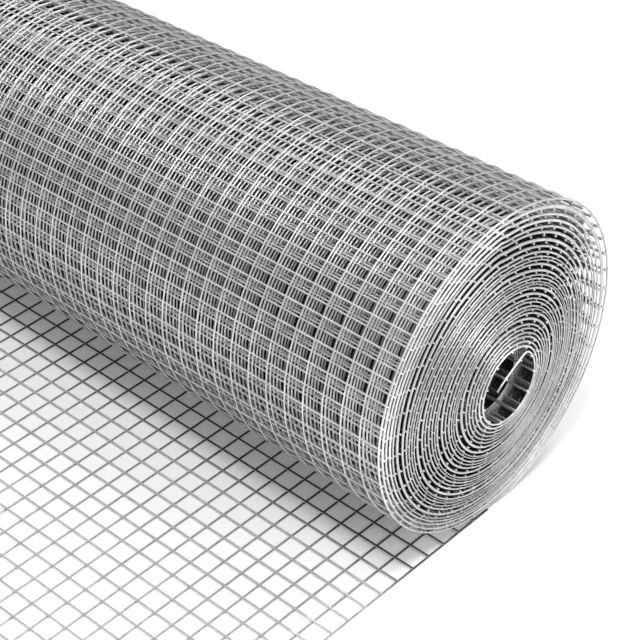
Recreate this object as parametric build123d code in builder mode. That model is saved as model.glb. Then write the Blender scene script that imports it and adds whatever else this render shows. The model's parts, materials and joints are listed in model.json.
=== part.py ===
# Roll of welded wire mesh, lying on its side with its loose end flat on the ground.
# Millimetres, +Z up. X runs along the roll towards its looser end, and the loose mesh lies towards -Y.
# The origin is under the middle of the whole object, at the level of the ground.

from build123d import *
from math import atan2, ceil, cos, radians, sin, sqrt
import os

# The mesh: square cells, the long wires on the outside of the roll and the cross wires welded inside them.
mesh_pitch = 12.7
wire = 1.05
cells_across = 48
selvedge_stub = 1.0

# The wound part is a little slacker, and so a little thicker, at its near end.
near_radius = 96.0
far_radius = 87.0
bore_radius = 21.0
turns = 32
turns_per_ring = 4
ring_relief = 2.4
telescoping = 9.0

# The loose end, counted in cells from the line where the roll touches the ground.
tail_cells = 20
tail_stub = 1.0
tail_labels = ("tail_near", "tail_middle", "tail_end")

# Width across the sheet, from the ends of its cross wires.
cross_wire_length = cells_across * mesh_pitch + wire + 2 * selvedge_stub

# Each ring on the ends stands for a few turns, and stands out less the further out it is.
rings = turns // turns_per_ring
ring_step = telescoping / (rings - 1)


def end_profile(first_x, rim_radius, depth):
    """Points of one end from the bore outwards: each ring slopes by depth and the next one steps back up."""
    ring_width = (rim_radius - bore_radius) / rings
    points = []
    for ring in range(rings):
        ring_x = first_x - ring * ring_step
        points.append((ring_x, bore_radius + ring * ring_width))
        points.append((ring_x - depth, bore_radius + (ring + 1) * ring_width))
    return points


# Along the roll's own axis, x is 0 at the near end of the outermost turn.
near_end = end_profile(telescoping, near_radius, ring_relief)
far_end = end_profile(telescoping - cross_wire_length, far_radius, -ring_relief)
near_rim_x = near_end[-1][0]
far_rim_x = far_end[-1][0]

# The roll lies along its side, so its axis rises towards the near end by half the angle of its cone.
slope = atan2(near_radius - far_radius, near_rim_x - far_rim_x)
axis_z = near_radius * cos(slope) - near_rim_x * sin(slope)

# The whole object is centred on the origin, between the ends of the roll and from the tail to the back.
near_reach = max(x * cos(slope) + radius * sin(slope) for x, radius in near_end)
far_reach = min(x * cos(slope) - radius * sin(slope) for x, radius in far_end)
axis_x = -(near_reach + far_reach) / 2
tail_reach = tail_cells * mesh_pitch + wire / 2 + tail_stub
axis_y = (tail_reach - near_radius) / 2

roll_plane = Plane((axis_x, axis_y, axis_z), x_dir=(cos(slope), 0, sin(slope)), z_dir=(0, -1, 0))

# The wound turns, turned as one solid with the bore through them.
with BuildPart() as roll:
    with BuildSketch(roll_plane):
        with BuildLine():
            Polyline(*near_end, *reversed(far_end), close=True)
        make_face()
    revolve(axis=Axis(roll_plane.origin, roll_plane.x_dir))

# The loose mesh is level with the outermost turn. Its first cross wire is the one that clears the roll,
# and its long wires come out where the roll's surface is one wire above the ground.
sheet_middle_x = axis_x + near_radius * sin(slope) - cross_wire_length / 2


def distance_under_roll(height):
    """Distance from the line of contact to where the roll's surface is this high."""
    return sqrt(near_radius**2 - (near_radius - height) ** 2)


first_cross_wire = ceil((distance_under_roll(2 * wire) + wire / 2) / mesh_pitch)
leave_y = axis_y - distance_under_roll(wire)
tail_end_y = axis_y - tail_reach


def cross_wire_y(cell):
    """Place of a cross wire of the loose end, counted from the line where the roll touches the ground."""
    return axis_y - cell * mesh_pitch


def loose_mesh(label, from_y, to_y, first_cell, last_cell):
    """One stretch of the flat mesh: long wires on the ground, cross wires welded on top of them."""
    length = from_y - to_y
    count = last_cell - first_cell + 1
    cross_middle_y = (cross_wire_y(first_cell) + cross_wire_y(last_cell)) / 2
    with BuildPart() as stretch:
        with BuildSketch(Plane.XY):
            with Locations((sheet_middle_x, (from_y + to_y) / 2)):
                with GridLocations(mesh_pitch, length, cells_across + 1, 1):
                    Rectangle(wire, length)
        extrude(amount=wire)
        with BuildSketch(Plane.XY.offset(wire)):
            with Locations((sheet_middle_x, cross_middle_y)):
                with GridLocations(cross_wire_length, mesh_pitch, 1, count):
                    Rectangle(cross_wire_length, wire)
        extrude(amount=wire)
    stretch.part.label = label
    return stretch.part


# The stretches share out the cross wires, and meet face to face half way between two of them.
cross_wires = tail_cells + 1 - first_cross_wire
stretches = len(tail_labels)
first_cells = [first_cross_wire + round(cross_wires * index / stretches) for index in range(stretches + 1)]
ends_y = [leave_y] + [cross_wire_y(cell - 0.5) for cell in first_cells[1:-1]] + [tail_end_y]

roll.part.label = "roll"
pieces = [roll.part]
for index, label in enumerate(tail_labels):
    last_cell = first_cells[index + 1] - 1
    pieces.append(loose_mesh(label, ends_y[index], ends_y[index + 1], first_cells[index], last_cell))

os.makedirs("parts", exist_ok=True)
for piece in pieces:
    export_step(piece, f"parts/{piece.label}.step")
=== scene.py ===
# Looks of a lying roll of galvanised welded wire mesh. Metres, +Z up.
# X runs along the roll towards its slacker end, and the loose mesh lies towards -Y.

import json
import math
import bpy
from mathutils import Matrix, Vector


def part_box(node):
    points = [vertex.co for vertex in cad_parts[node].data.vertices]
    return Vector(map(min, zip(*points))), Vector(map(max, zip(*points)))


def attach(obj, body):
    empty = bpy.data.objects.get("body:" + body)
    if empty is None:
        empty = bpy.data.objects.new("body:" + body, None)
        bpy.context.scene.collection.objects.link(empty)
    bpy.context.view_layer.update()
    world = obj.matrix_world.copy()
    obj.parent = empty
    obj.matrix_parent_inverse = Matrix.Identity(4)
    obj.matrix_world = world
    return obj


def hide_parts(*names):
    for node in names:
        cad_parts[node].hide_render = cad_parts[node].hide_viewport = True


bl_info = {
    "name": "Welded Mesh Roll",
    "version": (1, 0, 0),
    "blender": (4, 5, 0),
    "location": "View3D > Sidebar > Mesh Roll",
    "description": "Builds a roll of galvanised welded wire mesh with its loose end on the ground",
    "category": "Add Mesh",
}

import bmesh
import bpy
import numpy as np
from mathutils import Euler, Matrix, Vector

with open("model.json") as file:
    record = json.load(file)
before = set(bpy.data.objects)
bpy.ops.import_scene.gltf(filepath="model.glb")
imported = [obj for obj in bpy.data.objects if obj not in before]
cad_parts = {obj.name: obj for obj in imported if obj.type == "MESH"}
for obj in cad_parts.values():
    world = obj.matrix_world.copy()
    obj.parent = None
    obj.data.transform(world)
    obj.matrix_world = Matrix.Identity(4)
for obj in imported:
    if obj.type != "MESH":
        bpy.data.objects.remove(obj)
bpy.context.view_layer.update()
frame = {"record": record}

BODY = "root"
# The mesh attribute that holds painted shade, which darkens the zinc's colour where little light would
# reach.
PAINTED_SHADE_ATTRIBUTE = "painted_shade"
TAIL_NODES = ("tail_near", "tail_middle", "tail_end")

core_bore = next(mount for mount in frame["record"]["mounts"] if mount["name"] == "core_bore")
tail_low, tail_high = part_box("tail_end")

# Lines that the solids and the wires share.
AXIS_Y = core_bore["pos_m"][1]
BORE_RADIUS = core_bore["dims"]["r_mm"] / 1000
SLOPE = core_bore["axis"][2] / core_bore["axis"][0]
SHEET_LOW_X = tail_low.x
SHEET_HIGH_X = tail_high.x
SHEET_MIDDLE_X = (SHEET_LOW_X + SHEET_HIGH_X) / 2
TAIL_END_Y = tail_low.y

# A length in metres that is as good as nothing.
TINY = 1e-6

# Fineness of the wires: sides of their section, length of a straight piece of a bend, cuts along them.
FINE_SIDES = 8
COARSE_SIDES = 5
INNER_HOOP = {"sides": COARSE_SIDES, "facet": 0.015, "fewest": 10}
SELVEDGE_HOOP = {"sides": FINE_SIDES, "facet": 0.0055, "fewest": 16}
HOOP_GROUPS = 4
FLAP_STEPS = 6
WOUND_CUTS = 5
LOOSE_CUTS = 23
# Cuts close to the ends of the wound cross wires, as multiples of how far the painted light reaches there.
END_CUTS = (0, 1, 3)

# A weld spot: its radius in diameters of the wire, how far it is flattened, and the turns that have some.
WELD_RADIUS = 0.72
WELD_FLATNESS = 0.72
WELDED_TURNS = 1.02

# Places round the roll, each with how far it reaches to both sides: 0 is the ground, 90 the back.
# BACK places the slack of the outermost turn and painted shade at the back; LOW_FRONT places painted shade
# on the front close to the ground.
BACK = (math.radians(115), math.radians(115))
LOW_FRONT = (math.radians(-40), math.radians(55))

# Turns, counted inwards, between which a change grows or fades.
STAND_OFF_GROWS = (0.5, 1.8)
STAND_OFF_FADES = (2, 22)
BUNCHING_GROWS = (3, 7)
RAGGED_GROWS = (0, 2)
SINKING_GROWS = (0, 12)
# The painted shade at the back and on the low front fades over these turns.
BACK_PAINTED_SHADE_FADES = (1.5, 4)
LOW_FRONT_PAINTED_SHADE_FADES = (1.5, 8)
# The same, but counted outwards from the bore.
BUNCHING_FADES = (5, 2)
RAGGED_FADES = (6, 2)
SPREAD_ENDS = 4
# Turns of the wall of the bore that the painted light in the bore reaches, and how fast it fades behind
# them.
BORE_WALL_TURNS = 1.5
BORE_FADE_TURNS = 2.5

# Waves by which the bunches of turns wander round the roll: size, number of waves and start.
BUNCH_WANDER = ((0.9, 1, 0.7), (0.4, 3, 0))
# Size and start of a wave half as long that is added to the bunches.
HALF_BUNCH = 0.4
HALF_BUNCH_START = 1
# Waves that make the ends of the roll ragged: size, radians a turn, waves round the roll and start.
RAGGED_WAVES = ((1, 1.3, 1, 0), (0.6, 2.9, 0, 2), (1, 0.6, 2, 0))

# The painted shadow on the loose mesh is darkest up to this part of the roll's radius away from the line of
# contact.
OVERHANG_PAINTED_SHADOW_FULL = 0.65

# Texture of the zinc, in features a metre: dull patches, crystals and small runs.
PATCH_SCALE = 55
PATCH_DETAIL = 3
CRYSTAL_SCALE = 420
RUN_SCALE = 900
RUN_DETAIL = 4
# How much of the tone the crystals make, and the range of the sum that goes from dull to bright.
CRYSTAL_SHARE = 0.35
DULL_BELOW = 0.35
BRIGHT_ABOVE = 0.95
# Strength of the bump of the small runs, and its height in metres.
BUMP_STRENGTH = 0.25
BUMP_HEIGHT = 0.0001

# The studio. Each lamp has its place, width and power, and all of them look at one point of the roll.
FLOOR_HALF_WIDTH = 6
FLOOR_ROUGHNESS = 0.9
LAMP_TARGET = (0.2, 0, 0.08)
LAMPS = {
    "key_lamp": ((0.55, -0.5, 1.9), 0.45, 18),
    "back_lamp": ((0.5, 0.9, 1.7), 0.8, 12),
    "side_lamp": ((1.6, 0.25, 0.9), 0.8, 8),
}
# Width of the camera's sensor in millimetres, and how far it sees in metres.
SENSOR_WIDTH = 36
VIEW_LIMIT = 50


def length(name, description, default):
    """A size in metres that a user can change."""
    return bpy.props.FloatProperty(
        name=name, description=description, default=default, unit="LENGTH", precision=5
    )


def angle(name, description, degrees):
    """An angle that a user can change."""
    return bpy.props.FloatProperty(
        name=name, description=description, default=math.radians(degrees), subtype="ANGLE"
    )


def colour(name, description, default):
    """A colour that a user can change."""
    return bpy.props.FloatVectorProperty(
        name=name, description=description, default=default, size=3, min=0, max=1, subtype="COLOR"
    )


def point(name, description, default):
    """A place in the scene that a user can change."""
    return bpy.props.FloatVectorProperty(
        name=name, description=description, default=default, subtype="TRANSLATION", unit="LENGTH"
    )


def share(name, description, default):
    """A plain number between 0 and 1."""
    return bpy.props.FloatProperty(
        name=name, description=description, default=default, min=0, max=1, subtype="FACTOR"
    )


def number(name, description, default):
    """A plain number, such as a count of turns that needn't be whole."""
    return bpy.props.FloatProperty(name=name, description=description, default=default)


def whole_number(name, description, default):
    """A whole number."""
    return bpy.props.IntProperty(name=name, description=description, default=default)


class MeshSizes(bpy.types.PropertyGroup):
    """Sizes of the flat welded mesh."""

    pitch: length("Pitch", "Distance between wires, both ways", 0.0127)
    wire: length("Wire", "Diameter of every wire", 0.00105)
    weld_sink: length("Weld sink", "How far crossing wires are sunk into each other", 0.00015)
    stub: length("Stub", "How far the cross wires stand past the selvedge wires", 0.0002)
    cells_across: whole_number("Cells across", "Cells across the sheet", 48)
    tail_cells: whole_number("Tail cells", "Cells of the loose end, from the line of contact", 20)


class WindingSizes(bpy.types.PropertyGroup):
    """Sizes of the wound part, before and after it has settled."""

    near_radius: length("Near radius", "Outer radius at the slacker end", 0.096)
    turns: whole_number("Turns", "Turns of mesh round the bore", 32)
    telescoping: length("Telescoping", "How far the innermost turn stands out along the roll", 0.009)
    telescoping_power: number("Telescoping power", "1 for an even cone, more for steeper inner turns", 1.5)
    stagger_angle: angle("Stagger angle", "Angle turned where the three offsets below hold", 230)
    first_stagger: share("First stagger", "Offset of the second turn's cross wires, in cells", 0.5)
    outer_stagger: share("Outer stagger", "Offset of the next outer turns, from one to the next", 0.155)
    outer_turns: whole_number("Outer turns", "Turns outside those with the inner stagger", 7)
    inner_stagger: share("Inner stagger", "Offset of the further turns, from one to the next", 0.38)
    drop: length("Drop", "How far the inner turns have sunk inside the outer ones", 0.0055)
    lean: length("Lean", "How far the inner turns have moved towards the loose end", 0.001)
    slack: length("Slack", "Gap behind the outermost turn where it stands off", 0.003)
    looseness: length("Looseness", "How far the outer turns together have spread inwards", 0.003)
    loose_turns: number("Loose turns", "Outer turns that are spread", 8)
    bunching: length("Bunching", "How far turns have shifted to lie in tighter and looser groups", 0.0007)
    bunch_turns: number("Bunch turns", "Turns in a group", 6.3)
    ragged: length("Ragged", "Unevenness of the turns along the roll", 0.0002)
    flap_angle: angle("Flap angle", "Where the innermost turn leaves the wall of the bore", 135)
    flap_bend: angle("Flap bend", "Bend of the free inner end into the bore", 70)
    flap_bend_radius: length("Flap bend radius", "Radius of that bend", 0.004)
    flap_curl: angle("Flap curl", "Slight curl of the free inner end after the bend", 10)
    flap_run: length("Flap run", "Length of the free inner end across the bore", 0.0245)


class ZincSettings(bpy.types.PropertyGroup):
    """Finish of the galvanised wire, and the painted shade by which it darkens in the depth of the roll,
    with painted light near the ends and in the bore.
    """

    bright: colour("Bright zinc", "Colour of clean zinc", (0.92, 0.93, 0.94))
    dull: colour("Dull zinc", "Colour of weathered zinc", (0.66, 0.67, 0.68))
    rough_low: share("Smoothest", "Roughness of the brightest zinc", 0.35)
    rough_high: share("Roughest", "Roughness of the dullest zinc", 0.52)
    metallic: share("Metallic", "How far the zinc looks like bare metal and not like its white oxide", 0.72)
    # Painted shade in the depth of the roll: the colour fades behind the outer turns, more on cross wires
    # and at the back.
    tone_in_painted_shade: share("Tone in painted shade", "What is left of the colour in the depth of the roll", 0.03)
    bright_turns: number("Bright turns", "Turns with their full tone", 3.6)
    dark_turns: number("Dark turns", "Turn at which the tone has faded", 8.2)
    inner_side: number("Inner side", "Turns by which cross wires are darker than long wires", 1.6)
    back_turns: number("Back turns", "Turns by which the back is darker than the front", 1.5)
    # Painted light near the ends of the roll, on the end wires of the inner turns.
    reach_end: length("Reach from the ends", "Distance from an end wire until the tone has faded", 0.001)
    end_painted_light: share("End tone", "Tone of the end wires of the inner turns", 0.72)
    # Painted shade on the loose mesh, with a painted shadow under the roll.
    overhang_painted_shadow: share("Overhang shelter", "Darkening of the loose mesh under the roll", 0.93)
    long_wire_painted_shade: share("Long wire shelter", "Darkening of the long wires of the loose mesh", 0.5)
    cross_wire_painted_shade: share("Cross wire shelter", "Darkening of the cross wires of the loose mesh", 0.2)
    # Painted light in the bore, close to its end.
    reach_bore: length("Reach in the bore", "Distance along the bore until the tone has faded", 0.045)
    bore_painted_light: share("Bore tone", "Tone of the wall of the bore close to its end", 0.95)
    # Painted shade on the outermost turns at the back and on the front close to the ground.
    back_painted_shade: share("Back shelter", "Darkening of the outermost turns at the back", 0.35)
    low_front_painted_shade: share("Low shelter", "Darkening of the front of the roll close to the ground", 0.35)


class StudioSettings(bpy.types.PropertyGroup):
    """Camera, floor and surroundings."""

    camera_place: point("Camera place", "Where the camera stands", (0.76353, -0.58403, 0.73913))
    camera_azimuth: angle("Camera azimuth", "Turn of the view from +Y towards -X", 41.41)
    camera_elevation: angle("Camera elevation", "How far the camera looks down", 37.30)
    camera_roll: angle("Camera roll", "Turn of the picture", 1.08)
    lens: number("Lens", "Focal length in millimetres on a 36 mm sensor", 112.5)
    floor_colour: colour("Floor", "Colour of the floor", (0.88, 0.88, 0.88))
    floor_glow: share("Floor glow", "White that camera and reflections see added to the floor", 0.12)
    horizon: share("Horizon", "Strength of the surroundings at the horizon", 0.15)
    zenith: share("Zenith", "Strength of the surroundings overhead", 0.7)


# The winding before it settles: a straight coil whose hoops are half circles about two centres.


def ring_gap():
    """Distance from one turn to the next."""
    mesh = bpy.context.scene.mesh_sizes
    winding = bpy.context.scene.winding_sizes
    outermost = winding.near_radius - mesh.wire / 2
    return (outermost - BORE_RADIUS) / (winding.turns - 1)


def half_turn(index):
    """Radius and centre height of one half turn of the long wires, counted from the outside."""
    mesh = bpy.context.scene.mesh_sizes
    winding = bpy.context.scene.winding_sizes
    gap = ring_gap()
    radius = winding.near_radius - mesh.wire / 2 - index * gap / 2
    centre_z = winding.near_radius + (gap / 2 if index % 2 else 0)
    return radius, centre_z


def last_half_turn():
    """Number of whole half turns before the one in which the sheet leaves the wall of the bore."""
    winding = bpy.context.scene.winding_sizes
    return 2 * (winding.turns - 1)


def spiral_place(turned, inset):
    """Point (y, z) of the sheet after it has turned this far from the ground, inset towards the bore."""
    index = min(int(turned // math.pi), last_half_turn())
    radius, centre_z = half_turn(index)
    radius -= inset
    return AXIS_Y + radius * math.sin(turned), centre_z - radius * math.cos(turned)


def crossings_on_spiral():
    """Angles turned at each cross wire, and how far past the end of the coil the next one would be.

    The cells of a turn are counted from where it passes the front of the roll. They are stretched or
    pushed together a little, so that the cross wires of each turn are out of step there with those of
    the turn outside it.
    """
    mesh = bpy.context.scene.mesh_sizes
    winding = bpy.context.scene.winding_sizes
    spans = [math.pi] * last_half_turn() + [winding.flap_angle]
    lengths = [half_turn(index)[0] * span for index, span in enumerate(spans)]
    turned_at = np.concatenate(([0], np.cumsum(spans)))
    along_at = np.concatenate(([0], np.cumsum(lengths)))
    passes = np.arange(winding.stagger_angle, turned_at[-1], 2 * math.pi)
    marks = [0, *np.interp(passes, turned_at, along_at), along_at[-1]]
    cells = [0, marks[1] / mesh.pitch]
    for count in range(1, len(passes)):
        if count == 1:
            offset = winding.first_stagger
        elif count < winding.outer_turns:
            offset = winding.outer_stagger
        else:
            offset = winding.inner_stagger
        turn_cells = (marks[count + 1] - marks[count]) / mesh.pitch
        cells.append(cells[-1] + round(turn_cells - offset) + offset)
    cells.append(cells[-1] + (marks[-1] - marks[-2]) / mesh.pitch)
    numbers = np.arange(math.floor(cells[-1]) + 1)
    angles = np.interp(np.interp(numbers, cells, marks), along_at, turned_at)
    return [float(turned) for turned in angles], (len(numbers) - cells[-1]) * mesh.pitch


def flap_path():
    """The two bends of the free inner end: where each starts (y, z, heading), its angle and its radius."""
    winding = bpy.context.scene.winding_sizes
    turned = last_half_turn() * math.pi + winding.flap_angle
    y, z = spiral_place(turned, 0)
    heading = winding.flap_angle
    bends = []
    for bend, radius in (
        (winding.flap_bend, winding.flap_bend_radius),
        (winding.flap_curl, winding.flap_run / winding.flap_curl),
    ):
        bends.append((y, z, heading, bend, radius))
        centre_y, centre_z = bend_centre(y, z, heading, radius)
        heading += bend
        y = centre_y + radius * math.sin(heading)
        z = centre_z - radius * math.cos(heading)
    return bends


def bend_centre(y, z, heading, radius):
    """Centre (y, z) of a bend to the left of where the wire is heading."""
    return y - radius * math.sin(heading), z + radius * math.cos(heading)


def crossings_on_flap(first_distance):
    """Points and headings of the cross wires of the free inner end, continuing the spiral's spacing."""
    mesh = bpy.context.scene.mesh_sizes
    places = []
    ahead = first_distance
    for y, z, heading, bend, radius in flap_path():
        centre_y, centre_z = bend_centre(y, z, heading, radius)
        while ahead <= bend * radius:
            turned = heading + ahead / radius
            place_y = centre_y + radius * math.sin(turned)
            place_z = centre_z - radius * math.cos(turned)
            places.append((place_y, place_z, turned))
            ahead += mesh.pitch
        ahead -= bend * radius
    return places


def smooth_step(low, high, value):
    """0 below low, 1 above high, and smooth between them."""
    part = np.clip((value - low) / (high - low), 0, 1)
    return part * part * (3 - 2 * part)


def hump(around, middle, reach):
    """1 at one place round the roll, falling smoothly to 0 at this angle from it."""
    return 0.5 + 0.5 * np.cos(np.clip((around - middle) / reach, -1, 1) * math.pi)


def vertex_places(obj):
    """Places of the vertices, one row each."""
    place = np.empty(len(obj.data.vertices) * 3)
    obj.data.vertices.foreach_get("co", place)
    return place.reshape(-1, 3)


def moved_inwards(turn, around, back):
    """How far the wires have moved towards the axis: the outer turns are slack, and the others bunched."""
    winding = bpy.context.scene.winding_sizes
    # The outermost turn stands off the next ones at the back and on top.
    stand_off = smooth_step(*STAND_OFF_GROWS, turn) * (1 - smooth_step(*STAND_OFF_FADES, turn))
    wave = 2 * math.pi * turn / winding.bunch_turns
    for size, times, start in BUNCH_WANDER:
        wave = wave + size * np.sin(times * around + start)
    uneven = np.sin(wave) + HALF_BUNCH * np.sin(2 * wave + HALF_BUNCH_START)
    bunched = winding.bunching * uneven * smooth_step(*BUNCHING_GROWS, turn)
    fade_start, fade_end = BUNCHING_FADES
    bunched *= 1 - smooth_step(winding.turns - fade_start, winding.turns - fade_end, turn)
    spread = np.minimum(turn / winding.loose_turns, 1)
    spread *= 1 - smooth_step(winding.loose_turns, winding.turns - SPREAD_ENDS, turn)
    return winding.slack * back * stand_off + winding.looseness * spread + bunched


def moved_along(turn, around):
    """How far the turns have moved along the roll, as a multiple of the setting for it."""
    winding = bpy.context.scene.winding_sizes
    uneven = 0
    for size, per_turn, times, start in RAGGED_WAVES:
        uneven = uneven + size * np.sin(per_turn * turn + times * around + start)
    fade_start, fade_end = RAGGED_FADES
    fading = smooth_step(winding.turns - fade_start, winding.turns - fade_end, turn)
    return uneven * (smooth_step(*RAGGED_GROWS, turn) * (1 - fading))


def painted_light_on_roll(x, turn, around, back, inner_side):
    """How much light is painted on the wires: little behind the outer turns, away from the ends and the
    bore.
    """
    mesh = bpy.context.scene.mesh_sizes
    winding = bpy.context.scene.winding_sizes
    zinc = bpy.context.scene.zinc_settings
    from_end = np.minimum(SHEET_HIGH_X - x, x - SHEET_LOW_X) - mesh.wire - mesh.stub
    from_end = np.clip(from_end, 0, None)
    # Painted shade behind the outer turns, more on cross wires and at the back.
    seen = 1 - smooth_step(zinc.bright_turns, zinc.dark_turns, turn + inner_side + zinc.back_turns * back)
    # Painted light near the ends of the roll.
    seen = np.maximum(seen, zinc.end_painted_light * np.exp(-from_end / zinc.reach_end))
    # Painted light through the bore.
    from_bore = np.clip(winding.turns - BORE_WALL_TURNS - turn, 0, None)
    through_bore = np.exp(-from_bore / BORE_FADE_TURNS - from_end / zinc.reach_bore)
    seen = np.maximum(seen, zinc.bore_painted_light * through_bore)
    # Painted shade on the outer turns at the back and on the front close to the ground.
    seen = seen - zinc.back_painted_shade * back * (1 - smooth_step(*BACK_PAINTED_SHADE_FADES, turn))
    low = hump(around, *LOW_FRONT)
    return seen - zinc.low_front_painted_shade * low * (1 - smooth_step(*LOW_FRONT_PAINTED_SHADE_FADES, turn))


def settle(obj, inner_side=0.0):
    """Turns the straight coil into the settled one: tapered, telescoped, slack outside and sunk inside, and
    keeps painted shade for its zinc.

    Wires on the inner side of their turn get as much painted shade as wires this many turns further in.
    """
    winding = bpy.context.scene.winding_sizes
    place = vertex_places(obj)
    x, y, z = place[:, 0].copy(), place[:, 1] - AXIS_Y, place[:, 2] - winding.near_radius
    radius = np.hypot(y, z)
    around = np.arctan2(y, -z)
    wall = winding.near_radius - BORE_RADIUS
    depth = np.clip((winding.near_radius - radius) / wall, 0, 1)
    turn = depth * winding.turns
    back = hump(around, *BACK)
    in_wall = radius > BORE_RADIUS
    round_radius = np.where(in_wall, radius - moved_inwards(turn, around, back), radius)

    # The cone lies along its side, so its centre drops as its radius does.
    cone_radius = winding.near_radius - SLOPE * (SHEET_HIGH_X - x)
    thinner = (cone_radius - BORE_RADIUS) / wall
    squeezed = BORE_RADIUS + (round_radius - BORE_RADIUS) * thinner
    settled = np.where(round_radius > BORE_RADIUS, squeezed, round_radius)
    grow = settled / np.maximum(radius, TINY)
    sunk = smooth_step(*SINKING_GROWS, turn)
    place[:, 1] = AXIS_Y + y * grow - winding.lean * sunk
    place[:, 2] = cone_radius + z * grow - winding.drop * sunk
    stand_out = winding.telescoping * depth**winding.telescoping_power
    place[:, 0] = x + stand_out - place[:, 2] * SLOPE + winding.ragged * moved_along(turn, around)
    obj.data.vertices.foreach_set("co", place.ravel())
    obj.data.update()
    # Painted shade for the zinc, from how little light would reach each vertex.
    keep_painted_shade(obj, 1 - painted_light_on_roll(x, turn, around, back, inner_side))


def keep_painted_shade(obj, values):
    """Keeps how far each vertex lies out of the light, as painted shade for the zinc's tone."""
    painted_shade = obj.data.attributes.new(PAINTED_SHADE_ATTRIBUTE, "FLOAT", "POINT")
    painted_shade.data.foreach_set("value", np.asarray(values, dtype=np.float32))


def paint_shade_on_loose_mesh(obj, open_painted_shade):
    """Paints shade on the loose mesh, and a painted shadow most of all where the roll hangs over it."""
    winding = bpy.context.scene.winding_sizes
    zinc = bpy.context.scene.zinc_settings
    from_roll = AXIS_Y - vertex_places(obj)[:, 1]
    overhang = 1 - smooth_step(OVERHANG_PAINTED_SHADOW_FULL * winding.near_radius, winding.near_radius, from_roll)
    keep_painted_shade(obj, open_painted_shade + (zinc.overhang_painted_shadow - open_painted_shade) * overhang)


# Wires.


def across(index):
    """x of one long wire, counted from the slacker end."""
    mesh = bpy.context.scene.mesh_sizes
    return SHEET_MIDDLE_X + (mesh.cells_across / 2 - index) * mesh.pitch


def only(kind, items):
    """Those of these items that are of one kind: vertices, edges or faces."""
    return [item for item in items if isinstance(item, kind)]


def without_faces(items):
    """The vertices and edges among these items."""
    return [item for item in items if not isinstance(item, bmesh.types.BMFace)]


def everything(bm):
    """All vertices, edges and faces so far."""
    return bm.verts[:] + bm.edges[:] + bm.faces[:]


def section(bm, x, y, z, sides):
    """Section of a wire that runs along Y: its vertices and edges."""
    mesh = bpy.context.scene.mesh_sizes
    upright = Matrix.Translation((x, y, z)) @ Matrix.Rotation(math.pi / 2, 4, "X")
    verts = bmesh.ops.create_circle(
        bm, cap_ends=False, segments=sides, radius=mesh.wire / 2, matrix=upright
    )["verts"]
    return verts + list(dict.fromkeys(edge for vert in verts for edge in vert.link_edges))


def sweep_round(bm, geometry, centre, turn, steps):
    """Carries a section round a centre line along X and returns the section at the far end."""
    swept = bmesh.ops.spin(
        bm, geom=geometry, cent=centre, axis=(1, 0, 0), angle=turn, steps=steps, use_merge=False
    )
    return without_faces(swept["geom_last"])


def sweep_straight(bm, geometry, step, steps):
    """Carries a section along a straight line."""
    for _step in range(steps):
        edges = only(bmesh.types.BMEdge, geometry)
        geometry = without_faces(bmesh.ops.extrude_edge_only(bm, edges=edges)["geom"])
        bmesh.ops.translate(bm, verts=only(bmesh.types.BMVert, geometry), vec=step)


def close_ends(bm):
    """Caps the open ends of the wires and turns every face outwards."""
    rim = [edge for edge in bm.edges if edge.is_boundary]
    bmesh.ops.holes_fill(bm, edges=rim, sides=0)
    bmesh.ops.recalc_face_normals(bm, faces=bm.faces)


def finished(bm, name, replaced):
    """Makes the object, rides it on the body and gives it the zinc finish."""
    data = bpy.data.meshes.new(name)
    bm.to_mesh(data)
    bm.free()
    data.shade_smooth()
    obj = bpy.data.objects.new(name, data)
    bpy.context.scene.collection.objects.link(obj)
    data.materials.append(zinc_material())
    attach(obj, BODY)
    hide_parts(*replaced)
    return obj


def wound_wire(bm, x, sides, facet, fewest):
    """One long wire from the ground inwards to the free inner end."""
    mesh = bpy.context.scene.mesh_sizes
    winding = bpy.context.scene.winding_sizes
    geometry = section(bm, x, AXIS_Y, mesh.wire / 2, sides)
    for index in range(last_half_turn() + 1):
        radius, centre_z = half_turn(index)
        turn = math.pi if index < last_half_turn() else winding.flap_angle
        steps = max(fewest, round(radius * turn / facet))
        geometry = sweep_round(bm, geometry, (x, AXIS_Y, centre_z), turn, steps)
    for y, z, heading, bend, radius in flap_path():
        centre = (x, *bend_centre(y, z, heading, radius))
        geometry = sweep_round(bm, geometry, centre, bend, FLAP_STEPS)


def copies_across(bm, cells):
    """Copies what is there so far along the sheet's width, by each of these numbers of cells."""
    mesh = bpy.context.scene.mesh_sizes
    first = everything(bm)
    for count in cells:
        copy = bmesh.ops.duplicate(bm, geom=first)["geom"]
        bmesh.ops.translate(bm, verts=only(bmesh.types.BMVert, copy), vec=(-count * mesh.pitch, 0, 0))


def cross_wire_length():
    """Length of a cross wire, from stub to stub."""
    mesh = bpy.context.scene.mesh_sizes
    return mesh.cells_across * mesh.pitch + mesh.wire + 2 * mesh.stub


def cross_wire(bm, y, z, sides):
    """One straight wire across the sheet, from stub to stub."""
    mesh = bpy.context.scene.mesh_sizes
    along_x = Matrix.Translation((SHEET_MIDDLE_X, y, z)) @ Matrix.Rotation(math.pi / 2, 4, "Y")
    bmesh.ops.create_cone(
        bm,
        cap_ends=True,
        segments=sides,
        radius1=mesh.wire / 2,
        radius2=mesh.wire / 2,
        depth=cross_wire_length(),
        matrix=along_x,
    )


def divide_along(bm, cuts):
    """Divides the long edges of the cross wires so that they can bend."""
    long_edges = [edge for edge in bm.edges if edge.calc_length() > cross_wire_length() / 2]
    bmesh.ops.subdivide_edges(bm, edges=long_edges, cuts=cuts)


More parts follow.
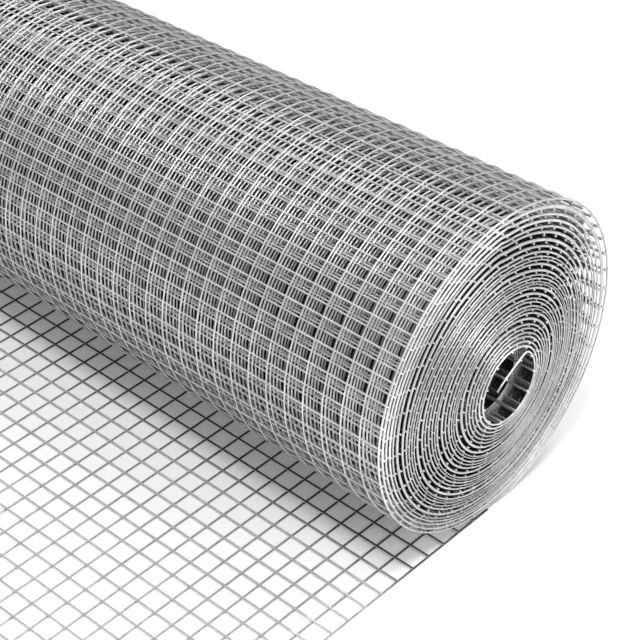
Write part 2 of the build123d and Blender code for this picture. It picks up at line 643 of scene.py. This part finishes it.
def divide_near_ends(bm):
    """Divides the cross wires close to their ends, where they pass out of the painted light."""
    mesh = bpy.context.scene.mesh_sizes
    zinc = bpy.context.scene.zinc_settings
    for times in END_CUTS:
        from_middle = cross_wire_length() / 2 - mesh.wire - mesh.stub - times * zinc.reach_end
        for x in (SHEET_MIDDLE_X - from_middle, SHEET_MIDDLE_X + from_middle):
            bmesh.ops.bisect_plane(
                bm, geom=everything(bm), dist=TINY, plane_co=(x, 0, 0), plane_no=(1, 0, 0)
            )


def weld_rows(bm, places):
    """Small blobs of zinc where the wires cross, a row across the sheet at each (y, z, heading)."""
    mesh = bpy.context.scene.mesh_sizes
    flat = Matrix.Diagonal((1, 1, WELD_FLATNESS, 1))
    spot = Matrix.Translation((across(0), 0, 0)) @ flat
    bmesh.ops.create_icosphere(bm, subdivisions=1, radius=WELD_RADIUS * mesh.wire, matrix=spot)
    copies_across(bm, range(1, mesh.cells_across + 1))
    row = everything(bm)
    for y, z, heading in places:
        copy = bmesh.ops.duplicate(bm, geom=row)["geom"]
        move = Matrix.Translation((0, y, z)) @ Matrix.Rotation(heading, 4, "X")
        bmesh.ops.transform(bm, matrix=move, verts=only(bmesh.types.BMVert, copy))
    bmesh.ops.delete(bm, geom=only(bmesh.types.BMVert, row), context="VERTS")


# Materials.


def zinc_group():
    """Node group for hot-dip zinc: colour, roughness and height from crystals, runs and dull patches, with
    painted shade darkening the colour.
    """
    name = "zinc_skin"
    if name in bpy.data.node_groups:
        return bpy.data.node_groups[name]
    group = bpy.data.node_groups.new(name, "ShaderNodeTree")
    for label, kind in (
        ("Bright", "NodeSocketColor"),
        ("Dull", "NodeSocketColor"),
        ("Smoothest", "NodeSocketFloat"),
        ("Roughest", "NodeSocketFloat"),
        ("Tone in painted shade", "NodeSocketFloat"),
    ):
        group.interface.new_socket(name=label, in_out="INPUT", socket_type=kind)
    for label, kind in (
        ("Color", "NodeSocketColor"),
        ("Roughness", "NodeSocketFloat"),
        ("Height", "NodeSocketFloat"),
    ):
        group.interface.new_socket(name=label, in_out="OUTPUT", socket_type=kind)
    nodes, links = group.nodes, group.links
    given = nodes.new("NodeGroupInput")
    result = nodes.new("NodeGroupOutput")
    place = nodes.new("ShaderNodeTexCoord")

    patches = nodes.new("ShaderNodeTexNoise")
    patches.inputs["Scale"].default_value = PATCH_SCALE
    patches.inputs["Detail"].default_value = PATCH_DETAIL
    crystals = nodes.new("ShaderNodeTexVoronoi")
    crystals.inputs["Scale"].default_value = CRYSTAL_SCALE
    runs = nodes.new("ShaderNodeTexNoise")
    runs.inputs["Scale"].default_value = RUN_SCALE
    runs.inputs["Detail"].default_value = RUN_DETAIL
    for texture in (patches, crystals, runs):
        links.new(place.outputs["Object"], texture.inputs["Vector"])

    crystal_tone = nodes.new("ShaderNodeSeparateColor")
    links.new(crystals.outputs["Color"], crystal_tone.inputs["Color"])
    wear = nodes.new("ShaderNodeMath")
    wear.operation = "MULTIPLY_ADD"
    wear.inputs[1].default_value = CRYSTAL_SHARE
    links.new(crystal_tone.outputs["Red"], wear.inputs[0])
    links.new(patches.outputs["Fac"], wear.inputs[2])
    spread = nodes.new("ShaderNodeMapRange")
    spread.inputs["From Min"].default_value = DULL_BELOW
    spread.inputs["From Max"].default_value = BRIGHT_ABOVE
    links.new(wear.outputs["Value"], spread.inputs["Value"])

    tone = nodes.new("ShaderNodeMix")
    tone.data_type = "RGBA"
    links.new(spread.outputs["Result"], tone.inputs["Factor"])
    links.new(given.outputs["Dull"], tone.inputs["A"])
    links.new(given.outputs["Bright"], tone.inputs["B"])
    # Painted shade: the attribute darkens the colour down to the tone in painted shade.
    painted_shade = nodes.new("ShaderNodeAttribute")
    painted_shade.attribute_name = PAINTED_SHADE_ATTRIBUTE
    dimmed = nodes.new("ShaderNodeMapRange")
    dimmed.inputs["To Min"].default_value = 1
    links.new(painted_shade.outputs["Fac"], dimmed.inputs["Value"])
    links.new(given.outputs["Tone in painted shade"], dimmed.inputs["To Max"])
    in_depth = nodes.new("ShaderNodeVectorMath")
    in_depth.operation = "SCALE"
    links.new(tone.outputs["Result"], in_depth.inputs["Vector"])
    links.new(dimmed.outputs["Result"], in_depth.inputs["Scale"])
    links.new(in_depth.outputs["Vector"], result.inputs["Color"])

    gloss = nodes.new("ShaderNodeMix")
    gloss.data_type = "FLOAT"
    links.new(spread.outputs["Result"], gloss.inputs["Factor"])
    links.new(given.outputs["Roughest"], gloss.inputs["A"])
    links.new(given.outputs["Smoothest"], gloss.inputs["B"])
    links.new(gloss.outputs["Result"], result.inputs["Roughness"])
    links.new(runs.outputs["Fac"], result.inputs["Height"])
    return group


def zinc_material():
    """Galvanised wire: hot-dip zinc, with painted shade where little light reaches it."""
    name = "hot_dip_zinc"
    if name in bpy.data.materials:
        return bpy.data.materials[name]
    zinc = bpy.context.scene.zinc_settings
    material = bpy.data.materials.new(name)
    material.use_nodes = True
    nodes, links = material.node_tree.nodes, material.node_tree.links
    shader = nodes["Principled BSDF"]
    shader.inputs["Metallic"].default_value = zinc.metallic
    skin = nodes.new("ShaderNodeGroup")
    skin.node_tree = zinc_group()
    skin.inputs["Bright"].default_value = (*zinc.bright, 1)
    skin.inputs["Dull"].default_value = (*zinc.dull, 1)
    skin.inputs["Smoothest"].default_value = zinc.rough_low
    skin.inputs["Roughest"].default_value = zinc.rough_high
    skin.inputs["Tone in painted shade"].default_value = zinc.tone_in_painted_shade
    bump = nodes.new("ShaderNodeBump")
    bump.inputs["Strength"].default_value = BUMP_STRENGTH
    bump.inputs["Distance"].default_value = BUMP_HEIGHT
    links.new(skin.outputs["Color"], shader.inputs["Base Color"])
    links.new(skin.outputs["Roughness"], shader.inputs["Roughness"])
    links.new(skin.outputs["Height"], bump.inputs["Height"])
    links.new(bump.outputs["Normal"], shader.inputs["Normal"])
    return material


def floor_material():
    """Matt pale floor, which camera and reflections see a little whiter."""
    studio = bpy.context.scene.studio_settings
    material = bpy.data.materials.new("studio_floor")
    material.use_nodes = True
    nodes, links = material.node_tree.nodes, material.node_tree.links
    shader = nodes["Principled BSDF"]
    shader.inputs["Base Color"].default_value = (*studio.floor_colour, 1)
    shader.inputs["Roughness"].default_value = FLOOR_ROUGHNESS
    shader.inputs["Specular IOR Level"].default_value = 0.0
    glow = nodes.new("ShaderNodeEmission")
    ray = nodes.new("ShaderNodeLightPath")
    reflected = nodes.new("ShaderNodeMath")
    reflected.operation = "MAXIMUM"
    links.new(ray.outputs["Is Glossy Ray"], reflected.inputs[0])
    links.new(ray.outputs["Is Transmission Ray"], reflected.inputs[1])
    seen = nodes.new("ShaderNodeMath")
    seen.operation = "MAXIMUM"
    links.new(ray.outputs["Is Camera Ray"], seen.inputs[0])
    links.new(reflected.outputs["Value"], seen.inputs[1])
    strength = nodes.new("ShaderNodeMath")
    strength.operation = "MULTIPLY"
    strength.inputs[1].default_value = studio.floor_glow
    links.new(seen.outputs["Value"], strength.inputs[0])
    links.new(strength.outputs["Value"], glow.inputs["Strength"])
    both = nodes.new("ShaderNodeAddShader")
    links.new(shader.outputs["BSDF"], both.inputs[0])
    links.new(glow.outputs["Emission"], both.inputs[1])
    links.new(both.outputs["Shader"], nodes["Material Output"].inputs["Surface"])
    return material


# The studio.


def add_floor(scene):
    """Lays a large square floor at the level of the ground."""
    bm = bmesh.new()
    bmesh.ops.create_grid(bm, x_segments=1, y_segments=1, size=FLOOR_HALF_WIDTH)
    data = bpy.data.meshes.new("studio_floor")
    bm.to_mesh(data)
    bm.free()
    data.materials.append(floor_material())
    floor = bpy.data.objects.new("studio_floor", data)
    scene.collection.objects.link(floor)


def add_surroundings(scene):
    """White surroundings, dim at the horizon and brighter overhead."""
    studio = scene.studio_settings
    world = bpy.data.worlds.new("studio_surroundings")
    world.use_nodes = True
    nodes, links = world.node_tree.nodes, world.node_tree.links
    background = nodes["Background"]
    background.inputs["Color"].default_value = (1, 1, 1, 1)
    direction = nodes.new("ShaderNodeTexCoord")
    height = nodes.new("ShaderNodeSeparateXYZ")
    links.new(direction.outputs["Generated"], height.inputs["Vector"])
    level = nodes.new("ShaderNodeMapRange")
    level.interpolation_type = "SMOOTHSTEP"
    level.inputs["To Min"].default_value = studio.horizon
    level.inputs["To Max"].default_value = studio.zenith
    links.new(height.outputs["Z"], level.inputs["Value"])
    links.new(level.outputs["Result"], background.inputs["Strength"])
    scene.world = world


def add_lamps(scene):
    """Soft square lamps above, behind and beside the roll."""
    target = Vector(LAMP_TARGET)
    for name, (place, size, power) in LAMPS.items():
        lamp = bpy.data.lights.new(name, "AREA")
        lamp.size = size
        lamp.energy = power
        lamp_object = bpy.data.objects.new(name, lamp)
        lamp_object.location = place
        lamp_object.rotation_euler = (target - Vector(place)).to_track_quat("-Z", "Y").to_euler()
        scene.collection.objects.link(lamp_object)


def add_camera(scene):
    """The camera, where the photograph was taken from."""
    studio = scene.studio_settings
    camera = bpy.data.cameras.new("camera")
    camera.sensor_width = SENSOR_WIDTH
    camera.lens = studio.lens
    camera.clip_end = VIEW_LIMIT
    camera_object = bpy.data.objects.new("camera", camera)
    camera_object.location = studio.camera_place
    tilt = math.pi / 2 - studio.camera_elevation
    aim = Euler((tilt, 0, studio.camera_azimuth)).to_matrix()
    camera_object.rotation_euler = (aim @ Matrix.Rotation(studio.camera_roll, 3, "Z")).to_euler()
    scene.collection.objects.link(camera_object)
    scene.camera = camera_object


# Operators.


class MESHROLL_OT_wound_wires(bpy.types.Operator):
    """Winds the long wires between the two selvedges, in a few joined groups"""

    bl_idname = "meshroll.wound_wires"
    bl_label = "Wound Long Wires"

    def execute(self, context):
        mesh = context.scene.mesh_sizes
        inner_wires = list(range(1, mesh.cells_across))
        group_size = math.ceil(len(inner_wires) / HOOP_GROUPS)
        for group in range(HOOP_GROUPS):
            members = inner_wires[group * group_size : (group + 1) * group_size]
            bm = bmesh.new()
            wound_wire(bm, across(members[0]), **INNER_HOOP)
            close_ends(bm)
            copies_across(bm, range(1, len(members)))
            settle(finished(bm, f"wound_wires_{group + 1}", ["roll"]))
        return {"FINISHED"}


class MESHROLL_OT_wound_selvedges(bpy.types.Operator):
    """Winds the two outermost long wires, which show on the ends of the roll"""

    bl_idname = "meshroll.wound_selvedges"
    bl_label = "Wound Selvedge Wires"

    def execute(self, context):
        mesh = context.scene.mesh_sizes
        bm = bmesh.new()
        wound_wire(bm, across(0), **SELVEDGE_HOOP)
        close_ends(bm)
        copies_across(bm, (mesh.cells_across,))
        settle(finished(bm, "selvedge_wires", ["roll"]))
        return {"FINISHED"}


class MESHROLL_OT_wound_cross_wires(bpy.types.Operator):
    """Lays the straight cross wires inside every turn and on the free inner end"""

    bl_idname = "meshroll.wound_cross_wires"
    bl_label = "Wound Cross Wires"

    def execute(self, context):
        mesh = context.scene.mesh_sizes
        zinc = context.scene.zinc_settings
        inset = mesh.wire - mesh.weld_sink
        angles, left_over = crossings_on_spiral()
        bm = bmesh.new()
        for turned in angles:
            y, z = spiral_place(turned, inset)
            cross_wire(bm, y, z, COARSE_SIDES)
        for y, z, heading in crossings_on_flap(left_over):
            y, z = y - inset * math.sin(heading), z + inset * math.cos(heading)
            cross_wire(bm, y, z, COARSE_SIDES)
        divide_along(bm, WOUND_CUTS)
        divide_near_ends(bm)
        settle(finished(bm, "wound_cross_wires", ["roll"]), zinc.inner_side)
        return {"FINISHED"}


class MESHROLL_OT_wound_welds(bpy.types.Operator):
    """Puts the weld spots on the outermost turn"""

    bl_idname = "meshroll.wound_welds"
    bl_label = "Wound Weld Spots"

    def execute(self, context):
        mesh = context.scene.mesh_sizes
        inset = (mesh.wire - mesh.weld_sink) / 2
        angles, _left_over = crossings_on_spiral()
        outermost = [turned for turned in angles if turned < WELDED_TURNS * 2 * math.pi]
        bm = bmesh.new()
        weld_rows(bm, [(*spiral_place(turned, inset), turned) for turned in outermost])
        settle(finished(bm, "wound_welds", ["roll"]))
        return {"FINISHED"}


class MESHROLL_OT_loose_mesh(bpy.types.Operator):
    """Lays out the flat loose end: long wires on the ground, cross wires on top, and their welds"""

    bl_idname = "meshroll.loose_mesh"
    bl_label = "Loose Mesh"

    def execute(self, context):
        mesh = context.scene.mesh_sizes
        zinc = context.scene.zinc_settings
        rise = mesh.wire - mesh.weld_sink
        reach = AXIS_Y - TAIL_END_Y
        bm = bmesh.new()
        start = section(bm, across(0), AXIS_Y, mesh.wire / 2, FINE_SIDES)
        sweep_straight(bm, start, (0, -reach / mesh.tail_cells, 0), mesh.tail_cells)
        close_ends(bm)
        copies_across(bm, range(1, mesh.cells_across + 1))
        # Painted shade on the long wires, and a painted shadow where the roll hangs over them.
        paint_shade_on_loose_mesh(finished(bm, "loose_long_wires", TAIL_NODES), zinc.long_wire_painted_shade)

        rows = [AXIS_Y - cell * mesh.pitch for cell in range(1, mesh.tail_cells + 1)]
        bm = bmesh.new()
        for y in rows:
            cross_wire(bm, y, mesh.wire / 2 + rise, FINE_SIDES)
        divide_along(bm, LOOSE_CUTS)
        # Painted shade on the cross wires, and a painted shadow where the roll hangs over them.
        paint_shade_on_loose_mesh(finished(bm, "loose_cross_wires", TAIL_NODES), zinc.cross_wire_painted_shade)

        bm = bmesh.new()
        weld_rows(bm, [(y, (mesh.wire + rise) / 2, 0) for y in rows])
        finished(bm, "loose_welds", TAIL_NODES)
        return {"FINISHED"}


class MESHROLL_OT_studio(bpy.types.Operator):
    """Sets up the floor, the soft lamps, the white surroundings and the camera"""

    bl_idname = "meshroll.studio"
    bl_label = "Studio"

    def execute(self, context):
        scene = context.scene
        scene.view_settings.view_transform = "Standard"
        add_floor(scene)
        add_surroundings(scene)
        add_lamps(scene)
        add_camera(scene)
        return {"FINISHED"}


class MESHROLL_PT_panel(bpy.types.Panel):
    """Settings and steps of the mesh roll"""

    bl_label = "Mesh Roll"
    bl_space_type = "VIEW_3D"
    bl_region_type = "UI"
    bl_category = "Mesh Roll"

    def draw(self, context):
        for group_name in SETTING_GROUPS:
            group = getattr(context.scene, group_name)
            column = self.layout.column(align=True)
            for name in group.__annotations__:
                column.prop(group, name)
        for step in STEPS:
            self.layout.operator(step.bl_idname)


STEPS = (
    MESHROLL_OT_wound_wires,
    MESHROLL_OT_wound_selvedges,
    MESHROLL_OT_wound_cross_wires,
    MESHROLL_OT_wound_welds,
    MESHROLL_OT_loose_mesh,
    MESHROLL_OT_studio,
)
SETTING_GROUPS = {
    "mesh_sizes": MeshSizes,
    "winding_sizes": WindingSizes,
    "zinc_settings": ZincSettings,
    "studio_settings": StudioSettings,
}


def register():
    """Adds the settings, steps and panel to Blender."""
    for name, group in SETTING_GROUPS.items():
        bpy.utils.register_class(group)
        setattr(bpy.types.Scene, name, bpy.props.PointerProperty(type=group))
    for kind in (*STEPS, MESHROLL_PT_panel):
        bpy.utils.register_class(kind)


def unregister():
    """Takes them out again."""
    for kind in reversed((*STEPS, MESHROLL_PT_panel)):
        bpy.utils.unregister_class(kind)
    for name, group in reversed(SETTING_GROUPS.items()):
        delattr(bpy.types.Scene, name)
        bpy.utils.unregister_class(group)


def main():
    """Builds the whole scene."""
    register()
    bpy.ops.meshroll.wound_wires()
    bpy.ops.meshroll.wound_selvedges()
    bpy.ops.meshroll.wound_cross_wires()
    bpy.ops.meshroll.wound_welds()
    bpy.ops.meshroll.loose_mesh()
    bpy.ops.meshroll.studio()


if __name__ == "__main__":
    main()
